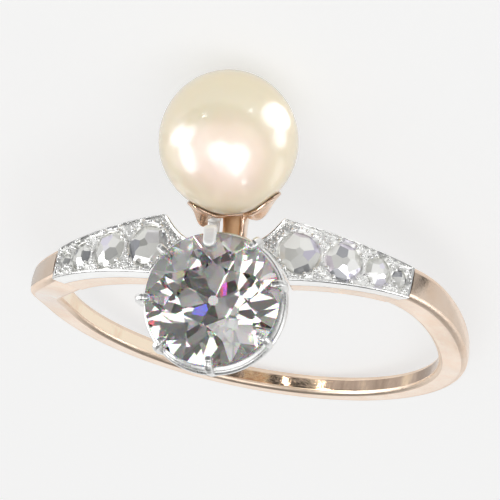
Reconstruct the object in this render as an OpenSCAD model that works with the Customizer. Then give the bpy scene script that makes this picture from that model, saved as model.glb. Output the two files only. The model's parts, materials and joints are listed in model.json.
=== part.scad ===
// Cocktail ring in two metals: a round pearl and a round old-cut diamond sit side by
// side on the head, one above the other along the finger, and a tapering shoulder plate
// with four rose-cut diamonds runs down each side of the hoop.
//
// The ring is drawn as worn: X across the finger, Y along it with the pearl at +Y, and Z
// out through the head. resting() then lays it down on the pearl and the back of the
// hoop, pearl side down, the way it lies by itself. The origin is the middle of the
// finger hole. Left and right are the sides as seen on the head with the pearl at the top.

/* [Hoop] */
// Inner diameter of the hoop.
hole_d = 16.6; // [15:0.1:18]
// Wall at the head, both metals together.
head_wall = 1.7; // [1.5:0.05:2]
// Wall at the palm side.
palm_wall = 0.9; // [0.8:0.05:1.2]
// Width of the hoop at the palm side.
palm_width = 0.88; // [0.8:0.02:1.4]
// Angle from the head at which the hoop has narrowed to its palm width.
narrow_angle = 106; // [95:1:130]
// Radius on the outer edges.
edge_radius = 0.16; // [0.08:0.02:0.25]

/* [Shoulder plates] */
// Width across the inner corners of a plate.
plate_inner_width = 2.78; // [2.4:0.02:3]
// Distance of the inner corners from the middle plane.
plate_inner_x = 2.5; // [2.2:0.1:3]
// Width at the outer end.
plate_end_width = 1.44; // [1.2:0.02:1.8]
// Angle from the head to the outer end.
plate_end_angle = 51.5; // [50.5:0.5:54]
// Thickness of the hoop under the plates.
under_plate = 0.9; // [0.8:0.05:1]
// Turn of the head against the finger axis.
head_turn = 5.4; // [0:0.2:7]
// Radius of the concave edge that faces the pearl.
pearl_side_arc = 2.74; // [2.6:0.02:2.9]
// Radius of the concave edge that faces the diamond.
diamond_side_arc = 3.39; // [3.3:0.01:3.5]

/* [Pearl] */
// Diameter of the pearl.
pearl_d = 6; // [5.6:0.1:6.2]
// Centre of the pearl along the finger.
pearl_y = 3.95; // [3.9:0.05:4.2]
// Height of the centre of the pearl above the finger axis.
pearl_z = 11.6; // [11.5:0.05:12]
// Lean of the cup and its peg, out over the finger.
cup_lean = 18.5; // [10:0.5:25]
// Thickness of the cup.
cup_wall = 0.3; // [0.2:0.02:0.35]
// Number of petals of the cup.
petal_count = 5; // [4:1:6]
// Diameter of the peg in the pearl.
peg_d = 0.8; // [0.6:0.1:1]

/* [Diamond] */
// Diameter of the diamond at the girdle.
diamond_d = 5.7; // [5.5:0.1:5.8]
// Centre of the girdle along the finger, towards the wrist.
diamond_y = -2.97; // [-3.1:0.01:-2.95]
// Height of the girdle above the finger axis.
diamond_z = 11.4; // [11.3:0.05:12]
// Lean of the diamond towards the wrist.
diamond_lean = 6.5; // [0:0.5:9]
// Diameter of the table.
table_d = 2.74; // [2.4:0.02:3.2]
// Diameter of the culet facet.
culet_d = 0.42; // [0.2:0.02:0.6]
// Diameter of a claw's ball head.
claw_head_d = 0.6; // [0.5:0.02:0.7]

/* [Rose-cut stones] */
// Height of a stone of 1 mm radius above its seat.
stone_rise = 0.5; // [0.4:0.02:0.8]
// Depth of a stone's base below the surface of the plate.
stone_sink = 0.42; // [0.36:0.02:0.46]

/* [Resting pose] */
// Tilt of the finger axis from upright, which raises the head.
rest_tilt = 17.8; // [17:0.1:20]
// Tip of the finger axis to the side, because the head is turned.
rest_tip = -1.7; // [-3:0.1:3]

/* [Hidden] */
$fn = 96;
// Clearance between pieces that meet, and extra length of a cutter past what it cuts.
gap = 0.02;
overlap = 1;
hole_r = hole_d / 2;

// The outer surface is a circle set off from the hole, thick at the head.
outer_circle_r = hole_r + (head_wall + palm_wall) / 2;
outer_shift = (head_wall - palm_wall) / 2;
plate_bottom_r = hole_r + under_plate;

// The sweeps round the hoop and along a plate: their sections have rounded outer edges.
head_sections = 28;
back_sections = 68;
plate_sections = 16;
edge_steps = 3;
hidden_edge_radius = 0.03;
sweep_depth = 0.5;
sweep_inner_r = hole_r - sweep_depth;
plate_tip_angle = 5;
step_angle = 0.1;
blend_start = 52;
blend_end = 100;

// Cutters reach from inside the hole to above the head.
cut_depth = 2;
cut_bottom = hole_r - cut_depth;
cut_top = 14;
cut_length = 12;
pearl_arc_back = 1.43;

pearl_r = pearl_d / 2;
pearl_x = 0.15;
peg_depth = 1.5;
petal_turn = -45;
petal_r = 0.85;
petal_reach = 2.05;
cup_base_r = 1.9;
cup_top = -0.8;

bridge_half = 1.9;
bridge_t = 0.75;
bridge_front = -1.3;
bridge_back = 0.55;
post_r = 0.5;
post_x = 0.35;
post_z = 8.95;
post_start = -0.3;

// The diamond has eight main facets on the crown and on the pavilion.
folds = 8;
fold = 360 / folds;
girdle_r = diamond_d / 2;
girdle_half = 0.06;
diamond_x = 0.15;
table_r = table_d / 2;
table_z = 1.05;
crown_slope = (table_z - girdle_half) / (girdle_r - table_r);
star_r = (table_r + girdle_r) / 2;
star_z = table_z - crown_slope * (star_r * cos(fold / 2) - table_r);
culet_r = culet_d / 2;
culet_z = -2.4;
pavilion_slope = (culet_z + girdle_half) / (girdle_r - culet_r);
lower_share = 0.4;
lower_r = girdle_r * lower_share;
lower_z = -girdle_half + pavilion_slope * (girdle_r - lower_r * cos(fold / 2));

collet_r = 3.08;
collet_bottom_r = 2.62;
collet_wall = 0.45;
collet_rim = -0.5;
collet_rim_width = 0.5;
collet_depth = 2.1;
claw_r = 0.24;
claw_top_x = collet_r + 0.06;
claw_bottom_x = collet_r - 0.14;
claw_bottom_z = -1.3;
claw_head_r = claw_head_d / 2;
claw_head_x = collet_r - 0.18;
claw_head_z = 0.4;
foot_half = 1.2;
foot_lap = 0.06;
foot_back = 1;
white_post_r = 0.25;
white_post_x = -0.43;
white_post_z = 9.35;
white_post_start = -0.2;
white_post_length = 2.95;

// Turns of the eight claws, set by hand and so a little uneven.
claw_turns = [14, 55, 95, 139, 184, 227, 273, 325];

// Rose-cut stones of one shoulder, from the head outwards: angle from the head, radius.
STONE_ANGLE = 0;
STONE_R = 1;
stones = [[19.3, 0.93], [31, 0.85], [41, 0.66], [47.9, 0.45]];
seat_depth = stone_sink + gap;

// A rose-cut stone: facets round it, its thin rim, its ring of corners, and the share of
// its height that doesn't depend on its radius.
rose_sides = 6;
rose_rim = 0.1;
rose_corner_r = 0.56;
rose_corner_z = 0.72;
rose_base_share = 0.6;

rose_gold = [0.86, 0.66, 0.55];
platinum = [0.80, 0.80, 0.81];
pearl_cream = [0.93, 0.90, 0.82];
clear_stone = [0.78, 0.82, 0.85];

// Shape functions, with angles measured from the head.

function smooth(t) = let (c = max(0, min(1, t))) c * c * (3 - 2 * c);

function outer_r(angle) =
    outer_shift * cos(angle)
    + sqrt(pow(outer_circle_r, 2) - pow(outer_shift * sin(angle), 2));

// The turned head shifts each side of the hoop along the finger, and the back stays square.
function shift_y(angle) =
    tan(head_turn) * outer_r(angle) * sin(angle)
    * (1 - smooth((abs(angle) - blend_start) / (blend_end - blend_start)));

// The shoulders taper evenly in the view from above, then the hoop narrows smoothly.
function hoop_width(angle) =
    let (
        end_x = outer_r(plate_end_angle) * sin(plate_end_angle),
        x = outer_r(angle) * abs(sin(angle)),
        along = (x - plate_inner_x) / (end_x - plate_inner_x)
    )
    abs(angle) < plate_end_angle
        ? plate_inner_width + (plate_end_width - plate_inner_width) * along
        : plate_end_width + (palm_width - plate_end_width)
            * smooth((abs(angle) - plate_end_angle) / (narrow_angle - plate_end_angle));

// One section as [radius, y] pairs, with both outer edges rounded.
function section(angle, inner, outer, rounding) =
    let (
        middle = shift_y(angle),
        half = hoop_width(angle) / 2,
        turns = [for (i = [0:edge_steps]) 90 * i / edge_steps]
    )
    concat(
        [[inner, middle - half]],
        [for (t = turns) [
            outer - rounding * (1 - sin(t)),
            middle - half + rounding * (1 - cos(t))
        ]],
        [for (t = turns) [
            outer - rounding * (1 - cos(t)),
            middle + half - rounding * (1 - sin(t))
        ]],
        [[inner, middle + half]]
    );

// The hoop is thin under the plates and has its full wall behind them.
function hoop_section(angle) =
    abs(angle) < plate_end_angle
        ? section(angle, sweep_inner_r, plate_bottom_r, hidden_edge_radius)
        : section(angle, sweep_inner_r, outer_r(angle), edge_radius);

function plate_section(angle) =
    section(angle, plate_bottom_r + gap, outer_r(angle), edge_radius);

// Angles in even steps from one end to the other, kept within half a turn of the head.
function even_angles(first, last, steps) = [
    for (i = [0:steps])
    let (a = first + (last - first) * i / steps)
    a > 180 ? a - 360 : a
];

function at_angle(angle, pair) = [pair[0] * sin(angle), pair[1], pair[0] * cos(angle)];

// A skin over a row of sections, one at each angle, closed into a ring or capped at its ends.
module sweep(angles, sections, closed) {
    count = len(angles);
    corners = len(sections[0]);
    points = [
        for (i = [0:count - 1])
        for (pair = sections[i])
        at_angle(angles[i], pair)
    ];
    last = closed ? count - 1 : count - 2;
    sides = [
        for (i = [0:last])
        for (j = [0:corners - 1])
        let (
            here = i * corners,
            next = ((i + 1) % count) * corners,
            k = (j + 1) % corners
        )
        for (half = [[here + j, here + k, next + k], [here + j, next + k, next + j]])
        half
    ];
    caps = closed ? [] : [
        [for (j = [corners - 1:-1:0]) j],
        [for (j = [0:corners - 1]) (count - 1) * corners + j]
    ];
    polyhedron(points, concat(sides, caps), convexity = 6);
}

// Frames.

module resting() {
    rotate([-rest_tilt, rest_tip, 0])
        rotate([90, 180, 0])
        children();
}

module pearl_frame() {
    rotate([0, 0, head_turn])
        translate([pearl_x, pearl_y, pearl_z])
        rotate([-cup_lean, 0, 0])
        children();
}

module diamond_frame() {
    rotate([0, 0, head_turn])
        translate([diamond_x, diamond_y, diamond_z])
        rotate([diamond_lean, 0, 0])
        children();
}

module stone_frame(angle) {
    rotate([0, angle, 0])
        translate([0, shift_y(angle), outer_r(angle)])
        children();
}

// A cylinder along the finger.
module along_finger(r, length) {
    rotate([90, 0, 0])
        cylinder(r = r, h = length, center = true);
}

// The two concave edges of the shoulders, seen from above.
module head_arcs() {
    rotate([0, 0, head_turn]) {
        translate([0, pearl_y - pearl_arc_back, cut_bottom])
            cylinder(r = pearl_side_arc, h = cut_top - cut_bottom);
        translate([0, diamond_y, cut_bottom])
            cylinder(r = diamond_side_arc, h = cut_top - cut_bottom);
    }
}

// Hoop, bridge, post, cup and peg, soldered into one.

module bridge() {
    intersection() {
        difference() {
            along_finger(hole_r + bridge_t, cut_length);
            along_finger(hole_r, cut_length + overlap);
        }
        rotate([0, 0, head_turn])
            translate([-bridge_half, bridge_front, 0])
            cube([2 * bridge_half, bridge_back - bridge_front, cut_top]);
    }
}

module cup_outline() {
    circle(cup_base_r);
    for (i = [0:petal_count - 1])
        rotate(petal_turn + 360 * i / petal_count)
        translate([petal_reach, 0])
        circle(petal_r);
}

module pearl_cup() {
    cup_r = pearl_r + gap + cup_wall;
    pearl_frame() {
        intersection() {
            difference() {
                sphere(cup_r);
                sphere(pearl_r + gap);
            }
            translate([0, 0, -cup_r - overlap])
                linear_extrude(height = cup_r + overlap + cup_top)
                cup_outline();
        }
        translate([0, 0, -pearl_r - cup_wall / 2])
            cylinder(d = peg_d, h = peg_depth + cup_wall / 2);
    }
}

module cup_post() {
    difference() {
        rotate([0, 0, head_turn])
            translate([post_x, post_start, post_z])
            rotate([-90, 0, 0])
            cylinder(r = post_r, h = pearl_y - pearl_r / 2 - post_start);
        pearl_frame()
            sphere(pearl_r + gap + cup_wall / 2);
        diamond_frame()
            cylinder(r = collet_bottom_r + gap, h = 2 * cut_length, center = true);
    }
}

module hoop() {
    head_end = plate_end_angle - step_angle;
    angles = concat(
        even_angles(-head_end, head_end, head_sections),
        even_angles(plate_end_angle, 360 - plate_end_angle, back_sections)
    );
    difference() {
        sweep(angles, [for (a = angles) hoop_section(a)], true);
        along_finger(hole_r, cut_length);
        head_arcs();
    }
}

module shank() {
    color(rose_gold)
        resting() {
            hoop();
            bridge();
            cup_post();
            pearl_cup();
        }
}

// Shoulder plates with their stone seats.

module shoulder_plate(side) {
    end = plate_end_angle - 2 * step_angle;
    angles = side > 0
        ? even_angles(plate_tip_angle, end, plate_sections)
        : even_angles(-end, -plate_tip_angle, plate_sections);
    color(platinum)
        resting()
        difference() {
            sweep(angles, [for (a = angles) plate_section(a)], false);
            head_arcs();
            for (s = stones)
                stone_frame(side * s[STONE_ANGLE])
                translate([0, 0, -seat_depth])
                cylinder(r = s[STONE_R] + gap, h = seat_depth + overlap);
        }
}

module shoulder_plate_left() {
    shoulder_plate(-1);
}

module shoulder_plate_right() {
    shoulder_plate(1);
}

// Rose-cut stones: a flat base, a ring of six corners, and a point.

module rose_cut(r, rise) {
    sides = rose_sides;
    rim = 2 * sides;
    turn = 360 / rim;
    corner_r = rose_corner_r * r;
    corner_z = rose_corner_z * rise;
    points = concat(
        [for (i = [0:rim - 1]) [r * cos(turn * i), r * sin(turn * i), 0]],
        [for (i = [0:rim - 1]) [r * cos(turn * i), r * sin(turn * i), rose_rim]],
        [for (i = [0:sides - 1])
            [corner_r * cos(2 * turn * i), corner_r * sin(2 * turn * i), corner_z]],
        [[0, 0, rise]]
    );
    corner = 2 * rim;
    tip = corner + sides;
    faces = concat(
        [[for (i = [0:rim - 1]) i]],
        [for (i = [0:rim - 1]) let (n = (i + 1) % rim) [i, rim + i, rim + n, n]],
        [for (i = [0:sides - 1]) let (b = rim + 2 * i, n = rim + (2 * i + 1) % rim)
            [corner + i, n, b]],
        [for (i = [0:sides - 1]) let (b = rim + 2 * i + 1, n = rim + (2 * i + 2) % rim)
            [corner + (i + 1) % sides, n, b]],
        [for (i = [0:sides - 1]) [corner + i, corner + (i + 1) % sides, rim + 2 * i + 1]],
        [for (i = [0:sides - 1]) [tip, corner + (i + 1) % sides, corner + i]]
    );
    polyhedron(points, faces, convexity = 2);
}

// Small stones are a little higher for their width.
function stone_height(r) = stone_rise * (rose_base_share + (1 - rose_base_share) * r);

module rose_diamond(side, index) {
    s = stones[index - 1];
    color(clear_stone)
        resting()
        stone_frame(side * s[STONE_ANGLE])
        translate([0, 0, -stone_sink])
        rose_cut(s[STONE_R], stone_height(s[STONE_R]));
}

// Pearl.

module pearl() {
    color(pearl_cream)
        resting()
        pearl_frame()
        difference() {
            sphere(pearl_r);
            translate([0, 0, -pearl_r - overlap])
                cylinder(d = peg_d + 2 * gap, h = peg_depth + overlap + gap);
        }
}

// Diamond: table, stars, kites, halves, girdle, pavilion and culet.

function ring(count, r, z, turn = 0) =
    [for (i = [0:count - 1])
        [r * cos(turn + 360 * i / count), r * sin(turn + 360 * i / count), z]];

module diamond() {
    n = folds;
    table = 0;
    star = table + n;
    upper = star + n;
    lower = upper + 2 * n;
    pavilion = lower + 2 * n;
    culet = pavilion + n;
    points = concat(
        ring(n, table_r, table_z),
        ring(n, star_r, star_z, fold / 2),
        ring(2 * n, girdle_r, girdle_half),
        ring(2 * n, girdle_r, -girdle_half),
        ring(n, lower_r, lower_z, fold / 2),
        ring(n, culet_r, culet_z)
    );
    main = [0:n - 1];
    faces = concat(
        [[for (i = [n - 1:-1:0]) table + i]],
        [[for (i = main) culet + i]],
        [for (i = main) [table + i, table + (i + 1) % n, star + i]],
        [for (i = main) [table + i, star + i, upper + 2 * i, star + (i + n - 1) % n]],
        [for (i = main) [star + i, upper + 2 * i + 1, upper + 2 * i]],
        [for (i = main) [star + i, upper + (2 * i + 2) % (2 * n), upper + 2 * i + 1]],
        [for (i = [0:2 * n - 1]) let (k = (i + 1) % (2 * n))
            [upper + i, upper + k, lower + k, lower + i]],
        [for (i = main) [pavilion + i, lower + 2 * i, lower + 2 * i + 1]],
        [for (i = main) [pavilion + i, lower + 2 * i + 1, lower + (2 * i + 2) % (2 * n)]],
        [for (i = main) [culet + i, pavilion + (i + n - 1) % n, lower + 2 * i, pavilion + i]],
        [for (i = main) [culet + (i + 1) % n, culet + i, pavilion + i]]
    );
    color(clear_stone)
        resting()
        diamond_frame()
        polyhedron(points, faces, convexity = 2);
}

// Diamond collet: wall, claws, foot on the bridge, and a white post to the cup.

// The room that the stone takes up, a little wider than the stone all round.
module diamond_room() {
    margin = 0.03;
    rotate_extrude()
        polygon([
            [0, culet_z - margin],
            [culet_r + margin, culet_z - margin],
            [girdle_r + margin, -girdle_half - margin],
            [girdle_r + margin, girdle_half + margin],
            [star_r + margin, star_z + margin],
            [table_r, table_z + 2 * margin],
            [0, table_z + 2 * margin]
        ]);
}

// The rim stands under the girdle, and the claws carry the stone over it.
module collet_wall() {
    rotate_extrude()
        polygon([
            [collet_bottom_r - collet_wall, -collet_depth],
            [collet_bottom_r, -collet_depth],
            [collet_r, collet_rim],
            [collet_r - collet_rim_width, collet_rim]
        ]);
}

// A claw is a wire that leans out with the wall, and a ball head bent in over the stone.
module claws() {
    wire_lean = atan((claw_top_x - claw_bottom_x) / (claw_head_z - claw_bottom_z));
    wire_length = (claw_head_z - claw_bottom_z) / cos(wire_lean) - claw_r;
    for (turn = claw_turns)
        rotate([0, 0, turn]) {
            translate([claw_bottom_x, 0, claw_bottom_z])
                rotate([0, wire_lean, 0])
                cylinder(r = claw_r, h = wire_length);
            translate([claw_head_x, 0, claw_head_z])
                sphere(claw_head_r);
        }
}

// The part of the wall that runs down to the bridge.
module collet_foot() {
    difference() {
        intersection() {
            diamond_frame()
                translate([0, 0, -collet_depth - overlap])
                difference() {
                    cylinder(r = collet_bottom_r, h = overlap + foot_lap);
                    translate([0, 0, -overlap])
                        cylinder(r = collet_bottom_r - collet_wall, h = 3 * overlap);
                }
            rotate([0, 0, head_turn])
                translate([diamond_x - foot_half, diamond_y + foot_back, 0])
                cube([2 * foot_half, collet_r, cut_top]);
        }
        along_finger(hole_r + bridge_t + gap, cut_length);
    }
}

module white_post() {
    difference() {
        rotate([0, 0, head_turn])
            translate([white_post_x, white_post_start, white_post_z])
            rotate([-90, 0, 0])
            cylinder(r = white_post_r, h = white_post_length);
        pearl_frame()
            sphere(pearl_r + cup_wall + 2 * gap);
        diamond_frame()
            cylinder(r = collet_bottom_r - foot_lap, h = 2 * cut_length, center = true);
    }
}

module diamond_collet() {
    color(platinum)
        resting() {
            diamond_frame()
                difference() {
                    union() {
                        collet_wall();
                        claws();
                    }
                    diamond_room();
                }
            collet_foot();
            white_post();
        }
}

shank();
shoulder_plate_left();
shoulder_plate_right();
diamond_collet();
pearl();
diamond();
rose_diamond(-1, 1);  // rose_diamond_left_1
rose_diamond(-1, 2);  // rose_diamond_left_2
rose_diamond(-1, 3);  // rose_diamond_left_3
rose_diamond(-1, 4);  // rose_diamond_left_4
rose_diamond(1, 1);  // rose_diamond_right_1
rose_diamond(1, 2);  // rose_diamond_right_2
rose_diamond(1, 3);  // rose_diamond_right_3
rose_diamond(1, 4);  // rose_diamond_right_4
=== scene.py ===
import json
import random
from math import asin, copysign, cos, degrees, exp, hypot, pi, radians, sin, sqrt, tan

import bmesh
import bpy
import numpy as np
from mathutils import Matrix, Vector

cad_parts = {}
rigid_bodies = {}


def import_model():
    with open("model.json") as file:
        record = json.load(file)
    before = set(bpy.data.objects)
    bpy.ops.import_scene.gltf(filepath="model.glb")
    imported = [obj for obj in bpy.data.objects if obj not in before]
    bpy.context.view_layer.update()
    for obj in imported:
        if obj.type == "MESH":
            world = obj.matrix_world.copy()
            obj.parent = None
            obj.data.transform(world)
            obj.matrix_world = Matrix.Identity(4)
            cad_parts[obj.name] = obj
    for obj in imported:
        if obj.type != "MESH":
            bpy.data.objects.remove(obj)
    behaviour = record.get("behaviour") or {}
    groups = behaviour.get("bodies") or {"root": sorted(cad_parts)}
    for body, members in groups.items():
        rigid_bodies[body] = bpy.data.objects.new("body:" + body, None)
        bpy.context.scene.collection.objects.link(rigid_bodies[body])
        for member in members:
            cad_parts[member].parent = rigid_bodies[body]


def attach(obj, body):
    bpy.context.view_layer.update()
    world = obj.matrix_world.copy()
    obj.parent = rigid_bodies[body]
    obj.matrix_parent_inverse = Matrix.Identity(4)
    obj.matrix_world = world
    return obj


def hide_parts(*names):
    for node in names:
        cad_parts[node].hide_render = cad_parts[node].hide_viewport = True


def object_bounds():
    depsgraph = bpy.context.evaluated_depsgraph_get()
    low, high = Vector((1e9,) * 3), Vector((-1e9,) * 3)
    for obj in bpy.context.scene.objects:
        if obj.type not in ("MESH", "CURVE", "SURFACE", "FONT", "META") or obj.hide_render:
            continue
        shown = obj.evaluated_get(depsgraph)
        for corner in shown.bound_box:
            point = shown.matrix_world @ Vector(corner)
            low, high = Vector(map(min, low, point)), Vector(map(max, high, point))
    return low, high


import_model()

cad_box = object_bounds()
scene = bpy.context.scene
rng = random.Random(17)


def new_object(name, data):
    made = bpy.data.objects.new(name, data)
    scene.collection.objects.link(made)
    return made


# The ring is drawn in mm in its own frame, as part.scad draws it: X across the finger,
# Y along it with the pearl at +Y, Z out through the head, origin in the finger hole.

HOLE_R = 8.3
OUTER_CIRCLE_R = 9.6
OUTER_SHIFT = 0.4
UNDER_PLATE_R = 9.2
HEAD_TURN = 5.4
REST_TILT = 17.8
REST_TIP = -1.7

PLATE_END = 51.5
PLATE_INNER_X = 2.5
PLATE_INNER_WIDTH = 2.78
PLATE_END_WIDTH = 1.44
PALM_WIDTH = 0.88
NARROW_ANGLE = 106
BLEND_START = 52
BLEND_END = 100

PEARL_ARC_Y, PEARL_ARC_R = 2.52, 2.74
DIAMOND_ARC_Y, DIAMOND_ARC_R = -2.97, 3.39

PEARL_CENTRE = (0.15, 3.95, 11.6)
PEARL_LEAN = -18.5
PEARL_R = 3.0
DIAMOND_CENTRE = (0.15, -2.97, 11.4)
DIAMOND_LEAN = 6.5

# Stones of one shoulder, from the head outwards: angle from the head, radius.
STONES = [(19.3, 0.93), (31, 0.85), (41, 0.66), (47.9, 0.45)]
STONE_SINK = 0.42


def turn(axis, angle):
    return np.array(Matrix.Rotation(radians(angle), 3, axis))


LAID = np.array([[-1, 0, 0], [0, 0, -1], [0, -1, 0]], float)
TO_ROW = turn("Y", REST_TIP) @ turn("X", -REST_TILT) @ LAID
HEAD = turn("Z", HEAD_TURN)


def to_row(points):
    """From the ring's frame in mm to the scene in metres."""
    return np.asarray(points, float) @ TO_ROW.T * 0.001


def in_head(points):
    return np.asarray(points, float) @ HEAD.T


def in_pearl(points):
    return in_head(np.asarray(points, float) @ turn("X", PEARL_LEAN).T + PEARL_CENTRE)


def in_diamond(points):
    return in_head(np.asarray(points, float) @ turn("X", DIAMOND_LEAN).T + DIAMOND_CENTRE)


# Camera, fitted to the photograph: rows are its right, up and back in the ring's frame.

VIEW = np.array([[0.9715, 0.1957, -0.1341], [-0.142, 0.9325, 0.332], [0.19, -0.3035, 0.9337]])
VIEW_SHIFT = (0.10, -3.02)
VIEW_DISTANCE = 300
PIXELS_PER_MM = 23.01
SENSOR = 36
IMAGE_WIDTH = 500

back_axis = VIEW[2] / np.linalg.norm(VIEW[2])
right_axis = VIEW[0] - back_axis * (VIEW[0] @ back_axis)
right_axis /= np.linalg.norm(right_axis)
up_axis = np.cross(back_axis, right_axis)
CAMERA_AXES = np.array([right_axis, up_axis, back_axis])


def seen_from_camera(right, up, back):
    """A place given by the camera's own axes, in mm from the ring's origin."""
    return to_row(np.array([right, up, back]) @ CAMERA_AXES)


camera_data = bpy.data.cameras.new("camera")
camera_data.sensor_width = SENSOR
camera_data.lens = PIXELS_PER_MM * VIEW_DISTANCE / IMAGE_WIDTH * SENSOR
camera_data.clip_start = 0.01
camera_data.clip_end = 20
camera = new_object("camera", camera_data)
camera_turn = Matrix((TO_ROW @ CAMERA_AXES.T).tolist()).to_4x4()
camera.matrix_world = Matrix.Translation(
    Vector(seen_from_camera(-VIEW_SHIFT[0], -VIEW_SHIFT[1], VIEW_DISTANCE))) @ camera_turn
scene.camera = camera


# Mesh tools. A part is (points in mm, faces).

def lattice(rows, columns, wrap_rows=False, wrap_columns=True):
    faces = []
    for i in range(rows if wrap_rows else rows - 1):
        for j in range(columns if wrap_columns else columns - 1):
            i2, j2 = (i + 1) % rows, (j + 1) % columns
            faces.append((i * columns + j, i * columns + j2, i2 * columns + j2, i2 * columns + j))
    return faces


def capped(rows, columns):
    """A lattice closed round its columns, with a face over each end."""
    last = (rows - 1) * columns
    return lattice(rows, columns) + [
        tuple(range(columns - 1, -1, -1)), tuple(range(last, last + columns))]


def around_z(r, azimuth, z):
    """The point at a radius, an azimuth in radians and a height."""
    return r * cos(azimuth), r * sin(azimuth), z


def revolved(profile, steps, closed=True):
    """A profile of (radius, z) turned round Z. An open one ends on the axis."""
    points = [around_z(r, 2 * pi * i / steps, z) for i in range(steps) for r, z in profile]
    return np.array(points), lattice(steps, len(profile), wrap_rows=True, wrap_columns=closed)


def tube(path, widths, heights, up, sides=20, power=2.0):
    """Superellipse sections along a path, capped at both ends."""
    path = np.asarray(path, float)
    points = []
    for i, centre in enumerate(path):
        ahead = path[min(i + 1, len(path) - 1)] - path[max(i - 1, 0)]
        ahead /= np.linalg.norm(ahead)
        side = np.cross(up, ahead)
        side /= np.linalg.norm(side)
        normal = np.cross(ahead, side)
        for j in range(sides):
            a = 2 * pi * j / sides
            across, out = (copysign(abs(share) ** (2 / power), share) for share in (cos(a), sin(a)))
            points.append(centre + side * across * widths[i] + normal * out * heights[i])
    return np.array(points), capped(len(path), sides)


def curve_through(points, steps):
    """A smooth path through a few points (Catmull-Rom)."""
    p = np.asarray(points, float)
    p = np.vstack([2 * p[0] - p[1], p, 2 * p[-1] - p[-2]])
    path = []
    for i in range(1, len(p) - 2):
        for k in range(steps):
            t = k / steps
            path.append(0.5 * (2 * p[i] + (p[i + 1] - p[i - 1]) * t
                               + (2 * p[i - 1] - 5 * p[i] + 4 * p[i + 1] - p[i + 2]) * t ** 2
                               + (3 * p[i] - p[i - 1] - 3 * p[i + 1] + p[i + 2]) * t ** 3))
    path.append(p[-2])
    return np.array(path)


def joined(rows):
    """A part out of closed sections, one after the other."""
    return np.array(rows).reshape(-1, 3), capped(len(rows), len(rows[0]))


def moved(part, place):
    return place(part[0]), part[1]


def dome(radius, flatness, rings=6, sides=14):
    """A grain of metal: round on top, straight below its widest place."""
    profile = [(radius * 0.9, -radius * 0.9)]
    for i in range(rings + 1):
        a = pi / 2 * i / rings
        profile.append((radius * cos(a), radius * flatness * sin(a)))
    points = [around_z(r, 2 * pi * j / sides, z) for r, z in profile for j in range(sides)]
    return np.array(points), capped(len(profile), sides)


def facet(azimuth, slope, r, z):
    """A plane through a point of its own azimuth, as (normal, distance). Slope 90 is upright."""
    t = radians(slope)
    normal = np.array(around_z(sin(t), radians(azimuth), cos(t)))
    return normal, r * sin(t) + z * cos(t)


def facet_through(*corners):
    """A plane through three corners of (azimuth, r, z), as (normal, distance)."""
    p, q, o = (np.array(around_z(r, radians(a), z)) for a, r, z in corners)
    normal = np.cross(q - p, o - p)
    normal /= np.linalg.norm(normal)
    distance = normal @ p
    return (normal, distance) if distance > 0 else (-normal, -distance)


def cut_stone(planes, reach):
    """A block cut down by planes, as a cutter does it."""
    bm = bmesh.new()
    bmesh.ops.create_cube(bm, size=2 * reach)
    for normal, distance in planes:
        cut = bmesh.ops.bisect_plane(
            bm, geom=bm.verts[:] + bm.edges[:] + bm.faces[:], dist=1e-6,
            plane_co=Vector(normal * distance), plane_no=Vector(normal), clear_outer=True)["geom_cut"]
        edges = [e for e in cut if isinstance(e, bmesh.types.BMEdge)]
        if edges:
            bmesh.ops.contextual_create(bm, geom=edges)
    bm.verts.index_update()
    points = np.array([v.co[:] for v in bm.verts])
    faces = [tuple(v.index for v in f.verts) for f in bm.faces]
    bm.free()
    return points, faces


def add_piece(name, parts, replaced, sharp=35, attributes=None):
    """One object out of parts of (points, faces, material)."""
    materials = []
    points, faces, slots = [], [], []
    for part_points, part_faces, material in parts:
        if material not in materials:
            materials.append(material)
        base = len(points)
        points += to_row(part_points).tolist()
        faces += [tuple(base + i for i in f) for f in part_faces]
        slots += [materials.index(material)] * len(part_faces)
    mesh = bpy.data.meshes.new(name)
    mesh.from_pydata(points, [], faces)
    mesh.polygons.foreach_set("material_index", slots)
    for material in materials:
        mesh.materials.append(material)
    for key, (domain, values) in (attributes or {}).items():
        layer = mesh.attributes.new(key, "FLOAT", domain)
        filled = np.zeros(len(layer.data), np.float32)
        filled[:len(values)] = values
        layer.data.foreach_set("value", filled)
    bm = bmesh.new()
    bm.from_mesh(mesh)
    bmesh.ops.remove_doubles(bm, verts=bm.verts, dist=5e-8)
    bmesh.ops.recalc_face_normals(bm, faces=bm.faces)
    bm.to_mesh(mesh)
    bm.free()
    mesh.shade_smooth()
    mesh.set_sharp_from_angle(angle=radians(sharp))
    piece = new_object(name, mesh)
    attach(piece, "root")
    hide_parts(*replaced)
    return piece


# Materials.

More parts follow.
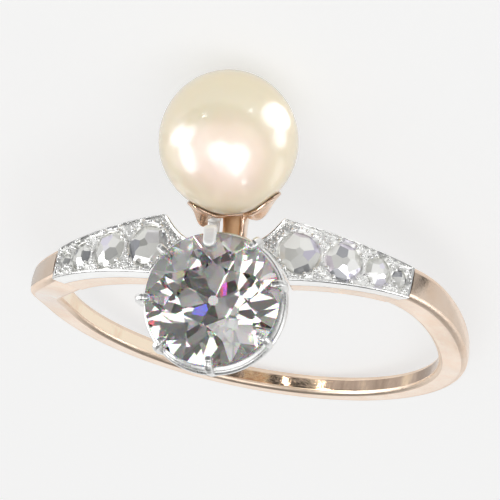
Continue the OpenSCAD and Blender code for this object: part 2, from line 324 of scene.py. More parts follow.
class Shader:
    """A node tree, with short ways to add to it."""

    def __init__(self, name, kind="materials"):
        self.owner = getattr(bpy.data, kind).new(name)
        self.owner.use_nodes = True
        self.tree = self.owner.node_tree
        self.base = self.tree.nodes.get("Principled BSDF")

    def feed(self, socket, value):
        """Sets a socket to a number, or links it to another socket."""
        if isinstance(value, bpy.types.NodeSocket):
            self.tree.links.new(value, socket)
        else:
            socket.default_value = value

    def node(self, kind, inputs=None, **settings):
        made = self.tree.nodes.new("ShaderNode" + kind)
        for key, value in settings.items():
            setattr(made, key, value)
        for key, value in (inputs or {}).items():
            self.feed(made.inputs[key], value)
        return made

    def set(self, **values):
        """Feeds the surface's own sockets."""
        for key, value in values.items():
            self.feed(self.base.inputs[key.replace("_", " ")], value)

    def calc(self, operation, *values):
        return self.node("Math", dict(enumerate(values)), operation=operation).outputs[0]

    def place(self, stretch=(1, 1, 1)):
        """Object coordinates in mm."""
        where = self.node("TexCoord").outputs["Object"]
        scale = [1000 * s for s in stretch]
        return self.node("VectorMath", {0: where, 1: scale}, operation="MULTIPLY").outputs[0]

    def noise(self, per_mm, detail=4, stretch=(1, 1, 1), warp=0):
        return self.node("TexNoise", {"Vector": self.place(stretch), "Scale": per_mm, "Detail": detail,
                                      "Roughness": 0.55, "Distortion": warp}).outputs["Fac"]

    def spread(self, value, low, high, start=0.3, end=0.7):
        """Maps start..end of a value onto low..high."""
        return self.node("MapRange", {"Value": value, "From Min": start, "From Max": end,
                                      "To Min": low, "To Max": high}).outputs["Result"]

    def tones(self, value, *stops):
        """A ramp of (place, colour) stops."""
        ramp = self.node("ValToRGB", {"Fac": value})
        elements = ramp.color_ramp.elements
        while len(elements) < len(stops):
            elements.new(0.5)
        for element, (place, colour) in zip(elements, stops):
            element.position = place
            element.color = (*colour, 1)
        return ramp.outputs["Color"]

    def bump(self, *layers):
        """Bump from layers of (height, depth in mm)."""
        inputs = {}
        for height, depth in layers:
            inputs.update(Height=height, Distance=depth * 0.001)
            inputs["Normal"] = self.node("Bump", inputs).outputs["Normal"]
        self.set(Normal=inputs["Normal"])

    def scratches(self):
        return self.noise(5, detail=3, stretch=(1, 9, 1), warp=0.4)


FINE_SCRATCHES, FINE_PITS = 0.0025, 0.0006


def metal(name, pale, deep, rough, waves, scratches=FINE_SCRATCHES, pits=FINE_PITS, metallic=1.0):
    """Metal with slow waves left by hand, scratches and pits, whose depths are in mm."""
    s = Shader(name)
    s.set(Metallic=metallic, Base_Color=s.tones(s.noise(0.8, detail=5), (0.3, deep), (0.7, pale)),
          Roughness=s.spread(s.noise(6, detail=6), *rough))
    s.bump((s.noise(1.1, detail=2), waves), (s.scratches(), scratches), (s.noise(26, detail=2), pits))
    return s.owner


ROSE = (0.93, 0.78, 0.66), (0.86, 0.67, 0.52)
rose_gold = metal("rose_gold", *ROSE, (0.07, 0.2), 0.009)
rose_edge = metal("rose_gold_edge", *ROSE, (0.34, 0.46), 0.02)
# The lips, the band's rounded inner edges, are duller, and darker as painted shade.
rose_lip_painted_shade = metal("rose_gold_lip_painted_shade", (0.88, 0.72, 0.58), (0.76, 0.6, 0.47), (0.3, 0.42), 0.02)
rose_satin = metal("rose_gold_satin", (0.88, 0.62, 0.38), (0.76, 0.48, 0.27), (0.28, 0.48),
                   0.02, 0.006, 0.003)
# The cup's gold is a darker copy of the rose gold, as painted shade.
rose_cup_painted_shade = metal("rose_gold_cup_painted_shade", (0.88, 0.68, 0.53), (0.58, 0.41, 0.3), (0.1, 0.26), 0.05, 0.004, 0.002)
platinum_matte = metal("platinum_matte", (0.97, 0.97, 0.96), (0.9, 0.9, 0.89), (0.4, 0.6),
                       0.03, 0.004, 0.003, metallic=0.55)
platinum = metal("platinum", (0.9, 0.9, 0.89), (0.82, 0.82, 0.81), (0.1, 0.24), 0.02, 0.003, 0.001)
platinum_worn = metal("platinum_worn", (0.93, 0.93, 0.92), (0.84, 0.84, 0.83), (0.22, 0.42),
                      0.03, 0.004, 0.003)


def worn_inside_with_painted_shade():
    """Rose gold inside the hoop: polished, with small dents that catch the light, in a colour of random wear
    plus painted shade that darkens it towards lower X.
    """
    s = Shader("rose_gold_inside")
    # Painted shade: the colour runs darker towards lower X, the camera's right; the noise added on top of it
    # is wear.
    across = s.node("SeparateXYZ", {0: s.place()}).outputs["X"]
    wear_and_painted_shade = s.spread(across, 0, 0.3, start=-1.0, end=6.0)
    wear_and_painted_shade = s.calc("MULTIPLY_ADD", s.noise(0.45), 0.7, wear_and_painted_shade)
    wear_and_painted_shade = s.calc("MULTIPLY_ADD", s.noise(1.6, stretch=(1, 0.2, 0.2)), 0.5, wear_and_painted_shade)
    s.set(Metallic=1.0, Roughness=s.spread(s.noise(6, detail=6), 0.05, 0.13),
          Base_Color=s.tones(wear_and_painted_shade, (0.5, (0.34, 0.25, 0.19)), (0.66, (0.54, 0.41, 0.32)),
                             (0.8, (0.84, 0.65, 0.46)), (0.92, (0.99, 0.84, 0.66))))
    dents = s.node("TexVoronoi", {"Scale": 0.6, "Vector": s.place()}).outputs["Distance"]
    s.bump((s.spread(dents, 0, 1, start=0.0, end=0.16), 0.045), (s.noise(1.3, detail=2), 0.012),
           (s.scratches(), FINE_SCRATCHES))
    return s.owner


def plate_material():
    """Bright-cut platinum: polished on top, dull down in the cuts and darker there as painted shade, with a
    random mottle over all.
    """
    s = Shader("platinum_cut")
    relief = s.node("Attribute", attribute_name="relief").outputs["Fac"]
    seat = s.spread(relief, 1, 0, start=-0.44, end=-0.40)
    # Painted shade: the deeper a place sits in a cut or collar, the darker and duller it is; the seats under
    # the stones stay bright.
    painted_shade_by_depth = s.spread(relief, 0, 1, start=-0.3, end=0.0)
    mottle_and_painted_shade = s.calc("MULTIPLY_ADD", s.noise(7, detail=6), 0.5, s.calc("MAXIMUM", seat, painted_shade_by_depth))
    s.set(Metallic=1.0, Roughness=s.spread(mottle_and_painted_shade, 0.45, 0.2, start=0.3, end=1.2),
          Base_Color=s.tones(mottle_and_painted_shade, (0.3, (0.66, 0.65, 0.6)), (0.65, (0.86, 0.86, 0.83)),
                             (1.0, (0.94, 0.94, 0.93))))
    s.bump((s.noise(2.2, detail=3), 0.02), (s.noise(12, detail=3), 0.006))
    return s.owner


# The side of the pearl, in the cup's frame, that faces the camera, where a painted rose sheen is strongest.
PAINTED_SHEEN_SIDE = (0.4, -2.5, 1.6)


def pearl_material():
    """Nacre under a clear skin, in cream with a painted sheen: rose on the side that faces the camera, cream
    and green further from it.
    """
    s = Shader("pearl_nacre")
    painted_sheen_side = to_row(in_pearl([PAINTED_SHEEN_SIDE]))[0] * 1000
    # Painted sheen: rose nearest the side that faces the camera, cream and green further off; the noise mixed
    # in is the pearl's own mottle.
    away = s.node("VectorMath", {0: s.place(), 1: painted_sheen_side}, operation="DISTANCE").outputs["Value"]
    away = s.calc("MULTIPLY_ADD", s.noise(0.5, detail=2), 1.2, away)
    s.set(Base_Color=s.tones(s.spread(away, 0, 1, start=0.6, end=4.6),
                             (0.0, (0.93, 0.72, 0.6)), (0.35, (0.92, 0.75, 0.59)),
                             (0.6, (0.89, 0.79, 0.57)), (1.0, (0.87, 0.78, 0.52))),
          Roughness=s.spread(s.noise(3), 0.3, 0.4), IOR=1.6,
          Subsurface_Weight=0.35, Subsurface_Radius=(1.0, 0.75, 0.5), Subsurface_Scale=0.0006,
          Coat_Weight=1.0, Coat_Roughness=0.2, Coat_IOR=1.8, Sheen_Weight=0.1, Sheen_Roughness=0.4,
          Thin_Film_Thickness=330.0, Thin_Film_IOR=1.45)
    s.bump((s.noise(0.5, detail=2), 0.02))
    return s.owner


DIAMOND_IOR = 2.42
# How far the red and the blue bend from the green, and the share of the light that does.
FIRE, FIRE_SHARE = 0.025, 0.2
DIAMOND_TINT = (0.99, 0.985, 0.98)


def diamond_material():
    """Diamond. Part of the red, green and blue bend a little differently, which makes the fire."""
    s = Shader("diamond_clear")
    s.tree.nodes.remove(s.base)
    parts = [([(1 - FIRE_SHARE) * t for t in DIAMOND_TINT], 0)]
    for channel in range(3):
        colour = [0, 0, 0]
        colour[channel] = FIRE_SHARE * DIAMOND_TINT[channel]
        parts.append((colour, FIRE * (channel - 1)))
    total = None
    for colour, bend in parts:
        glass = s.node("BsdfGlass", {"Color": (*colour, 1), "IOR": DIAMOND_IOR + bend}).outputs[0]
        total = s.node("AddShader", {0: total, 1: glass}).outputs[0] if total else glass
    s.feed(s.tree.nodes["Material Output"].inputs["Surface"], total)
    return s.owner


def rose_cut_material():
    """Old rose cuts over foil, with painted reflections and fire that differ from facet to facet: dark, grey,
    pale, violet and peach facets.
    """
    s = Shader("rose_cut_foil_painted_facets")
    painted_facet_light = s.node("Attribute", attribute_name="painted_facet_light").outputs["Fac"]
    # Painted reflections and fire: each facet takes a random place on this ramp.
    s.set(Base_Color=s.tones(painted_facet_light, (0.0, (0.26, 0.27, 0.31)), (0.14, (0.62, 0.62, 0.59)),
                             (0.3, (0.92, 0.92, 0.88)), (0.88, (0.99, 0.99, 0.97)),
                             (0.95, (0.84, 0.8, 0.99)), (1.0, (0.98, 0.85, 0.74))),
          Roughness=s.spread(s.noise(4), 0.0, 0.04), IOR=DIAMOND_IOR, Transmission_Weight=0.2, Metallic=0.2)
    return s.owner


rose_inside = worn_inside_with_painted_shade()
platinum_cut = plate_material()
nacre = pearl_material()
diamond_clear = diamond_material()
rose_cut_foil_painted_facets = rose_cut_material()


# Shape of the hoop, with angles in degrees from the head.

def smooth(t):
    t = min(max(t, 0), 1)
    return t * t * (3 - 2 * t)


def outer_r(angle):
    a = radians(angle)
    return OUTER_SHIFT * cos(a) + sqrt(OUTER_CIRCLE_R ** 2 - (OUTER_SHIFT * sin(a)) ** 2)


def shift_y(angle):
    """How far the turned head moves the middle of the band along the finger."""
    return (tan(radians(HEAD_TURN)) * outer_r(angle) * sin(radians(angle))
            * (1 - smooth((abs(angle) - BLEND_START) / (BLEND_END - BLEND_START))))


def hoop_width(angle):
    if abs(angle) > PLATE_END:
        return (PLATE_END_WIDTH + (PALM_WIDTH - PLATE_END_WIDTH)
                * smooth((abs(angle) - PLATE_END) / (NARROW_ANGLE - PLATE_END)))
    x = outer_r(angle) * abs(sin(radians(angle)))
    end_x = outer_r(PLATE_END) * sin(radians(PLATE_END))
    return (PLATE_INNER_WIDTH + (PLATE_END_WIDTH - PLATE_INNER_WIDTH)
            * (x - PLATE_INNER_X) / (end_x - PLATE_INNER_X))


ARCS = [(*in_head((0, y, 0))[:2], r)
        for y, r in ((PEARL_ARC_Y, PEARL_ARC_R), (DIAMOND_ARC_Y, DIAMOND_ARC_R))]

# How round the plates' tips are cut.
TIP_ROUND = 0.4


def edges_y(angle, x):
    """The band's two edges at x: the taper, cut back by the arcs round the pearl and the diamond."""
    low = shift_y(angle) - hoop_width(angle) / 2
    high = shift_y(angle) + hoop_width(angle) / 2
    (px, py, pr), (dx, dy, dr) = ARCS
    if abs(angle) > PLATE_END:
        return low, high
    if abs(x - px) < pr:
        arc = py - sqrt(pr ** 2 - (x - px) ** 2)
        near = max(TIP_ROUND - abs(high - arc), 0) / TIP_ROUND
        high = min(high, arc) - near ** 2 * TIP_ROUND / 4
    if abs(x - dx) < dr:
        low = max(low, dy + sqrt(dr ** 2 - (x - dx) ** 2))
    if low > high:
        low = high = (low + high) / 2
    return low, high


def tip_angle(side):
    """Angle of the tip, where the two arcs meet."""
    gap_y = PEARL_ARC_Y - DIAMOND_ARC_Y
    up = (gap_y ** 2 + DIAMOND_ARC_R ** 2 - PEARL_ARC_R ** 2) / (2 * gap_y)
    tip = in_head((side * sqrt(DIAMOND_ARC_R ** 2 - up ** 2), DIAMOND_ARC_Y + up, 0))
    angle = 8.0
    for _ in range(20):
        angle = degrees(asin(abs(tip[0]) / outer_r(angle)))
    return angle


UPRIGHT_UNTIL = 24


def hoop_point(angle, r, y):
    """The point at an angle from the head, a radius and a place along the finger."""
    return r * sin(radians(angle)), y, r * cos(radians(angle))


def angle_at(angle, r):
    """Sections stand upright at the tips, where the arcs cut straight down, and lean out further on."""
    tip = tip_angle(1 if angle > 0 else -1)
    lean = smooth((abs(angle) - tip) / (UPRIGHT_UNTIL - tip))
    if lean >= 1:
        return angle
    x = outer_r(angle) * sin(radians(abs(angle)))
    upright = degrees(asin(min(x / r, 1)))
    return copysign(upright + (abs(angle) - upright) * lean, angle)


def band_side(inner, outer, inner_round, outer_round, steps=5, middle=4):
    """(radius, inset from the edge) up one side, round at both ends."""
    turns = [pi / 2 * i / steps for i in range(steps + 1)]
    straight = outer - inner - inner_round - outer_round
    return ([(inner + inner_round * (1 - cos(t)), inner_round * (1 - sin(t))) for t in turns]
            + [(inner + inner_round + straight * i / middle, 0) for i in range(1, middle)]
            + [(outer - outer_round * (1 - sin(t)), outer_round * (1 - cos(t))) for t in turns])


INSIDE_STEPS = 8


def band_section(angle, inner, outer, inner_round, outer_round, top_steps, relief=None, crown=0.0):
    """One closed loop round the band. relief(x, y, angle) raises or lowers its top."""
    loop, reliefs = [], []

    def put(r, inset, share, top=False):
        """Adds the point at a share, -1 to 1, of the way between the edges' insets."""
        a = angle_at(angle, r)
        x = r * sin(radians(a))
        low, high = edges_y(angle, x)
        inset = min(inset, (high - low) / 2)
        y = low + inset + (high - low - 2 * inset) * (share + 1) / 2
        extra = relief(x, y, angle) if relief and top else 0.0
        if top:
            r += crown * (1 - share ** 2)
        loop.append(hoop_point(a, r + extra, y))
        reliefs.append(extra)

    side = band_side(inner, outer, inner_round, outer_round)
    for r, inset in side:
        put(r, inset, -1)
    for i in range(1, top_steps):
        put(outer, outer_round, 2 * i / top_steps - 1, top=True)
    for r, inset in reversed(side):
        put(r, inset, 1)
    for i in range(1, INSIDE_STEPS):
        put(inner, inner_round, 1 - 2 * i / INSIDE_STEPS)
    return loop, reliefs


ARM_STEPS, BACK_STEPS = 66, 172
# The hoop under the plates ends a little before them, in degrees.
ARM_END = PLATE_END - 0.12
# Columns of a section's loop, from first to before last, with another surface than the rest.
SURFACES = ((rose_inside, 36, 44), (rose_lip_painted_shade, 0, 5), (rose_lip_painted_shade, 31, 36),
            (rose_edge, 9, 14), (rose_edge, 22, 27))


def hoop_parts():
    """The hoop by surface: polished, worn inside with painted shade, and duller lips and edges, the lips
    darkened as painted shade.
    """
    rows = []

    def arm(start, end):
        for i in range(ARM_STEPS + 1):
            angle = start + (end - start) * i / ARM_STEPS
            rows.append(band_section(angle, HOLE_R, UNDER_PLATE_R, 0.07, 0.03, 8)[0])

    arm(tip_angle(1), ARM_END)
    for i in range(BACK_STEPS + 1):
        angle = PLATE_END + (360 - 2 * PLATE_END) * i / BACK_STEPS
        angle = angle if angle <= 180 else angle - 360
        rows.append(band_section(angle, HOLE_R, outer_r(angle), 0.2, 0.24, 8, crown=0.03)[0])
    arm(-ARM_END, -tip_angle(-1))
    columns = len(rows[0])
    faces = {rose_gold: [], rose_inside: [], rose_lip_painted_shade: [], rose_edge: []}
    for face in capped(len(rows), columns):
        surface = rose_gold
        for material, first, last in SURFACES:
            if len(face) == 4 and first <= face[0] % columns < last:
                surface = material
        faces[surface].append(face)
    points = np.array(rows).reshape(-1, 3)
    return [(points, some, material) for material, some in faces.items()]


# Bridge between the tips, post and cup, in the same gold.

BRIDGE_R = 9.05
BRIDGE_HALF = 1.9
BRIDGE_ROUND_IN, BRIDGE_ROUND_OUT = 0.08, 0.12
POST_HALF = 0.36


def bridge_part():
    rows = []
    steps = 40
    side = band_side(HOLE_R, BRIDGE_R, BRIDGE_ROUND_IN, BRIDGE_ROUND_OUT)
    for i in range(steps + 1):
        x = BRIDGE_HALF * (-1 + 2 * i / steps)
        wide = 1 - smooth((abs(x) - 0.9) / (BRIDGE_HALF - 0.9))
        low, high = -0.12 - 1.13 * wide, 0.5
        outside = high - low - 2 * BRIDGE_ROUND_OUT
        inside = high - low - 2 * BRIDGE_ROUND_IN
        loop = [(r, low + inset) for r, inset in side]
        loop += [(BRIDGE_R, low + BRIDGE_ROUND_OUT + outside * k / 6) for k in range(1, 6)]
        loop += [(r, high - inset) for r, inset in reversed(side)]
        loop += [(HOLE_R, high - BRIDGE_ROUND_IN - inside * k / 6) for k in range(1, 6)]
        rows.append([(x, y, sqrt(r * r - x * x)) for r, y in loop])
    return moved(joined(rows), in_head)


def post_part(x, half):
    """One bar of the post, which spreads into the cup."""
    path = curve_through([(x, -0.05, 8.92), (x, 0.4, 8.95), (x, 1.2, 9.0), (x, 1.9, 9.07), (x, 2.5, 9.22)], 6)
    spread = np.array([1 + 0.5 * smooth((y - 1.0) / 1.4) for _, y, _ in path])
    return moved(tube(path, half * spread, POST_HALF * spread, up=(0, 0, 1), power=3.2), in_head)


# Petals of the cup: turn round the peg, reach, radius.
PETALS = [(-43, 1.95, 0.80), (25, 1.7, 0.75), (97, 1.7, 0.75), (169, 1.7, 0.75), (-116, 1.95, 0.78)]
CUP_BASE_R = 1.85
CUP_WALL, LIP = 0.3, 0.17
CUP_GAP = 0.02
# The two petals in front stand off the pearl: turn round the peg, thickness, width in degrees.
PETAL_BELLIES = [(-52, 0.34, 15), (-118, 0.6, 11)]
PEG_R, PEG_HOLE_R, PEG_HOLE_END = 0.4, 0.42, -1.5


def turn_between(azimuth, other):
    return (azimuth - other + 180) % 360 - 180


def belly(azimuth, t):
    """Extra thickness of the cup at an azimuth and a share of its reach."""
    rise = smooth(t / 0.6) * (1 - smooth((t - 0.72) / 0.28))
    return rise * max(thick * exp(-(turn_between(azimuth, centre) / width) ** 2)
                      for centre, thick, width in PETAL_BELLIES)


def cup_edge(azimuth):
    """How far the cup reaches from the peg's axis at an azimuth."""
    reach = CUP_BASE_R
    for petal, distance, radius in PETALS:
        d = radians(turn_between(azimuth, petal))
        inside = radius ** 2 - (distance * sin(d)) ** 2
        if inside > 0 and abs(d) < pi / 2:
            reach = max(reach, distance * cos(d) + sqrt(inside))
    return reach


def in_true_pearl(points):
    """The pearl is a little longer one way than the other, and narrower at its lower end."""
    centre = in_pearl([(0, 0, 0)])[0]
    offset = in_pearl(points) - centre
    along = offset @ up_axis
    lengthwise = np.outer(along, up_axis)
    narrow = 0.985 - 0.04 * np.clip(-along / PEARL_R, 0, 1) ** 2
    return centre + (offset - lengthwise) * narrow[:, None] + lengthwise * 1.02


def cup_part():
    around, rings, lip = 300, 22, 5
    edges = [cup_edge(360 * j / around) for j in range(around)]
    edges = [sum(edges[(j + k) % around] for k in (-2, -1, 0, 1, 2)) / 5 for j in range(around)]
    inner_r = PEARL_R + CUP_GAP
    rows = []

    def row(t, r_of):
        line = []
        for j in range(around):
            reach = min(edges[j] * t, 2.93)
            out = smooth((reach - 1.9) / 1.0)
            z = -sqrt(max(inner_r ** 2 - reach ** 2, 0.01))
            unit = np.array(around_z(reach, 2 * pi * j / around, z)) / inner_r
            line.append(unit * r_of(out, 360 * j / around))
        rows.append(line)

    for i in range(1, rings + 1):
        row(i / rings, lambda out, a: inner_r)
    for i in range(1, lip):
        t = pi * i / lip
        row(1 + 0.035 * sin(t),
            lambda out, a: inner_r + (LIP - 0.03 * out) * (1 - cos(t)) / 2)
    for i in range(rings, 0, -1):
        t = i / rings
        row(t, lambda out, a: (inner_r + CUP_WALL - (CUP_WALL - LIP) * smooth((t - 0.5) / 0.5) - 0.03 * out
                               + belly(a, t)))
    return moved(joined(rows), in_true_pearl)


def peg_part():
    radii = [PEG_R, PEG_R, PEG_R - 0.02]
    return moved(tube([(0, 0, -3.1), (0, 0, -2.4), (0, 0, -1.6)], radii, radii, up=(0, 1, 0)), in_pearl)


gold = hoop_parts() + [
    (*bridge_part(), rose_gold), (*post_part(0.26, 0.40), rose_satin), (*post_part(0.73, 0.17), rose_gold),
    (*cup_part(), rose_cup_painted_shade), (*peg_part(), rose_gold)]
add_piece("hoop_and_cup", gold, ["shank"], sharp=40)


# Pearl, with the hole for its peg.

def pearl_part():
    profile = [(0.0, PEG_HOLE_END), (PEG_HOLE_R, PEG_HOLE_END), (PEG_HOLE_R, -2.2),
               (PEG_HOLE_R, -sqrt(PEARL_R ** 2 - PEG_HOLE_R ** 2))]
    start = asin(PEG_HOLE_R / PEARL_R)
    steps = 90
    for i in range(1, steps + 1):
        a = start + (pi - start) * i / steps
        profile.append((PEARL_R * sin(a), -PEARL_R * cos(a)))
    return moved(revolved(profile, 160, closed=False), in_true_pearl)


add_piece("pearl_body", [(*pearl_part(), nacre)], ["pearl"], sharp=60)


# Shoulder plates: one fine sheet with rim, bright cuts and seats, and grains on it.

PLATE_TOP_R = 9.9
CUT_DEPTH, COLLAR_DEPTH, SEAT_DEPTH = 0.11, 0.21, STONE_SINK + 0.04


def edge_gap(angle, x, y):
    """How far a place on a plate is from its nearest edge or arc."""
    return min(hoop_width(angle) / 2 - abs(y - shift_y(angle)),
               *(hypot(x - arc_x, y - arc_y) - r for arc_x, arc_y, r in ARCS))


def stone_gap(side, angle, y, stone, radius):
    """How far a place on a plate is from a stone's outline."""
    along = radians(abs(angle) - stone) * outer_r(stone)
    return hypot(along, y - shift_y(side * stone)) - radius


def plate_relief(side):
    """Height of the plate's top: a rim, bright cuts inside it, and the stones' seats and collars."""
    bumps = [(rng.uniform(0, 6.28), rng.uniform(5, 11), rng.uniform(5, 11)) for _ in range(5)]

    def relief(x, y, angle):
        end = radians(PLATE_END - 0.2 - abs(angle)) * outer_r(angle)
        cut = min(smooth((edge_gap(angle, x, y) - 0.08) / 0.1), smooth((end - 0.14) / 0.1))
        ripple = sum(sin(p + fx * x + fy * y) for p, fx, fy in bumps) / 5
        height = -CUT_DEPTH * cut + 0.015 * ripple * cut
        for stone in STONES:
            away = stone_gap(side, angle, y, *stone)
            if away < -0.06:
                return -SEAT_DEPTH
            collar = 1 - smooth((away + 0.05) / 0.12)
            height = height * (1 - collar) - COLLAR_DEPTH * collar
        return height

    return relief


def on_plate(side, angle, y, height, points):
    """Puts a small part on the plate at an angle, y and height over its top."""
    a = side * angle
    tilted = np.asarray(points, float) @ turn("Y", a).T
    return tilted + hoop_point(a, outer_r(a) + height, y)


def grain_places(side):
    """Grains that hold the stones: corners of each gap, then smaller ones over the bare metal."""
    places = []

    def border(angle, y):
        a = side * angle
        x = outer_r(a) * sin(radians(a))
        return min(edge_gap(a, x, y), radians(PLATE_END - angle) * outer_r(a) - 0.1)

    def apart(angle, y, place):
        return hypot(radians(angle - place[0]) * PLATE_TOP_R, y - place[1])

    for stone, radius in STONES:
        for azimuth in (35, 62, 118, 145, 215, 242, 298, 325):
            a = radians(azimuth + rng.uniform(-4, 4))
            size = 0.085 + 0.035 * radius
            reach = radius + size * 0.45
            angle = stone + degrees(reach * cos(a) / outer_r(stone))
            y = shift_y(side * stone) + reach * sin(a)
            if border(angle, y) > 0.05 and all(apart(angle, y, p) > 0.14 for p in places):
                places.append((angle, y, size, -0.05))
    for _ in range(5000):
        angle = rng.uniform(9, PLATE_END - 1)
        y = shift_y(side * angle) + rng.uniform(-1.4, 1.4)
        size = rng.uniform(0.05, 0.085)
        if (border(angle, y) >= 0.14 + size
                and all(stone_gap(side, angle, y, *stone) >= size + 0.02 for stone in STONES)
                and all(apart(angle, y, p) > (size + p[2]) * 0.95 for p in places)):
            places.append((angle, y, size, -0.14))
    return places


def shoulder(side):
    first = tip_angle(side)
    last = PLATE_END - 0.2
    rows, reliefs = [], []
    steps = 240
    relief = plate_relief(side)
    for i in range(steps + 1):
        angle = side * (first + (last - first) * i / steps)
        loop, heights = band_section(angle, UNDER_PLATE_R - 0.01, outer_r(angle), 0.02, 0.07, 84, relief)
        rows.append(loop)
        reliefs += heights
    parts = [(*joined(rows), platinum_cut)]
    for angle, y, size, height in grain_places(side):
        points, faces = dome(size, flatness=rng.uniform(0.75, 1.15))
        parts.append((on_plate(side, angle, y, height, points), faces, platinum))
    return parts, reliefs


for side, word in ((-1, "left"), (1, "right")):
    parts, reliefs = shoulder(side)
    add_piece(f"plate_{word}", parts, [f"shoulder_plate_{word}"], sharp=32,
              attributes={"relief": ("POINT", reliefs)})


# Collet of the diamond: wall with a rim and a groove, eight claws, foot and white post.

CLAW_TURNS = (13.6, 55, 95.3, 139, 184, 226.6, 273.4, 325)
# Path of a claw as (radius, z), then its thickness and how broad it is.
CLAW_PATH = [(2.74, -1.95), (2.87, -1.3), (3.02, -0.5), (3.05, 0.0), (3.02, 0.26), (2.92, 0.42),
             (2.76, 0.48), (2.55, 0.5)]
CLAW_SIZE = (0.16, 1)
# The claw next to the pearl is a short, thin and broad tab that reaches further in.
TAB_TURN = 95.3
TAB_PATH = [(2.98, -0.25), (3.0, -0.1), (3.0, 0.05), (2.97, 0.26), (2.88, 0.42), (2.72, 0.52),
            (2.42, 0.62), (2.1, 0.74)]
TAB_SIZE = (0.11, 1.75)
# The wall was raised by hand and sits a little to one side of the stone.
RIM_SHIFT = (0.06, -0.05, 0)
COLLET_PROFILE = [
    (2.17, -2.1), (2.56, -2.16), (2.64, -2.08), (2.68, -1.85), (2.71, -1.6), (2.69, -1.54), (2.73, -1.47),
    (2.9, -0.98), (3.0, -0.88), (3.06, -0.82), (3.08, -0.74), (3.06, -0.62), (3.01, -0.52), (2.97, -0.5),
    (2.95, -0.53), (2.92, -0.5), (2.85, -0.45), (2.75, -0.42), (2.63, -0.44), (2.54, -0.54), (2.44, -1.0),
    (2.3, -1.6)]


def claw_part(azimuth):
    (thick, broad), shape = (TAB_SIZE, TAB_PATH) if azimuth == TAB_TURN else (CLAW_SIZE, CLAW_PATH)
    path = curve_through([(r, 0, z) for r, z in shape], 6)
    widths, heights = [], []
    for k in range(len(path)):
        t = k / (len(path) - 1)
        tip = max(1 - ((t - 0.86) / 0.14) ** 2, 0.02) ** 0.35 if t > 0.86 else 1
        base = 0.4 + 0.6 * smooth(t / 0.15)
        grow = smooth(t / 0.7)
        widths.append((thick + 0.05 * grow) * tip * base * rng.uniform(0.93, 1.07))
        heights.append((0.13 + 0.03 * grow) * broad * tip * base * rng.uniform(0.93, 1.07))
    points, faces = tube(path, widths, heights, up=(0, 1, 0), power=3.6)
    return in_diamond(points @ turn("Z", azimuth).T), faces


def foot_part():
    """The part of the wall that runs down to the bridge."""
    rows = []
    steps = 24
    for i in range(steps + 1):
        azimuth = radians(62 + 56 * i / steps)
        line = []
        for r, z in ((2.2, -1.95), (2.2, -2.3), (2.62, -2.3), (2.62, -1.95)):
            point = in_diamond([around_z(r, azimuth, z)])[0]
            if z < -2:
                point[2] = sqrt(max((BRIDGE_R - 0.02) ** 2 - point[0] ** 2, 1))
            line.append(point)
        rows.append(line)
    return joined(rows)


def white_post_parts():
    path = curve_through([(-0.43, -0.3, 9.3), (-0.42, 0.2, 9.55), (-0.41, 0.6, 9.76), (-0.39, 0.85, 9.91),
                          (-0.37, 1.0, 10.02)], 6)
    post = tube(path, [0.15] * len(path), [0.25] * len(path), up=(1, 0, 0), power=5)
    steps = [-1 + k / 6 for k in range(13)]
    thick = [0.21 * sqrt(max(1 - t * t, 0.03)) for t in steps]
    bead = tube([(-0.36 + 0.31 * t, 1.0, 10.16) for t in steps], thick, thick, up=(0, 0, 1))
    return [(*moved(part, in_head), platinum_matte) for part in (post, bead)]


wall_points, wall_faces = revolved(COLLET_PROFILE, 144)
parts = [(in_diamond(wall_points + RIM_SHIFT), wall_faces, platinum_worn)]
for azimuth in CLAW_TURNS:
    parts.append((*claw_part(azimuth), platinum_matte if azimuth == TAB_TURN else platinum_worn))
parts += [(*foot_part(), platinum), *white_post_parts()]
add_piece("collet_and_claws", parts, ["diamond_collet"], sharp=38)


# Stones, cut by hand, so that their facets are a little uneven.

cutter = random.Random(5)
GIRDLE_R, GIRDLE_HALF = 2.85, 0.06
TABLE_R, TABLE_Z = 1.37, 1.05
STAR_R, STAR_Z = 2.11, 0.663
CULET_Z = -2.4
PAVILION_SLOPE = 41.55
LOWER_R, LOWER_Z = 1.14, -1.652
CROWN_SLOPE = 33.8
STAR_SLOPE = 24.7


def uneven(plane, turn_by=0.012, shift_by=0.008):
    normal, distance = plane
    normal = normal + [cutter.uniform(-turn_by, turn_by) for _ in range(3)]
    return normal / np.linalg.norm(normal), distance + cutter.uniform(-shift_by, 0)


def diamond_part():
    """Old cut: table, stars, mains and halves over the girdle, mains and halves below, open culet."""
    planes = [facet(0, 0, 0, TABLE_Z), facet(0, 180, 0, CULET_Z)]
    planes += [facet(6 * i, 90, GIRDLE_R, 0) for i in range(60)]
    for i in range(8):
        a = 45 * i
        planes += [uneven(facet(a, CROWN_SLOPE, GIRDLE_R, GIRDLE_HALF)),
                   uneven(facet(a, 180 - PAVILION_SLOPE, GIRDLE_R, -GIRDLE_HALF), 0.003, 0.005),
                   uneven(facet(a + 22.5, STAR_SLOPE, TABLE_R * cos(pi / 8), TABLE_Z))]
        for side in (-1, 1):
            for z, r, inner_z in ((GIRDLE_HALF, STAR_R, STAR_Z), (-GIRDLE_HALF, LOWER_R, LOWER_Z)):
                planes.append(uneven(facet_through(
                    (a + side * 22.5, r, inner_z), (a, GIRDLE_R, z), (a + side * 22.5, GIRDLE_R, z))))
    return moved(cut_stone(planes, 4), in_diamond)


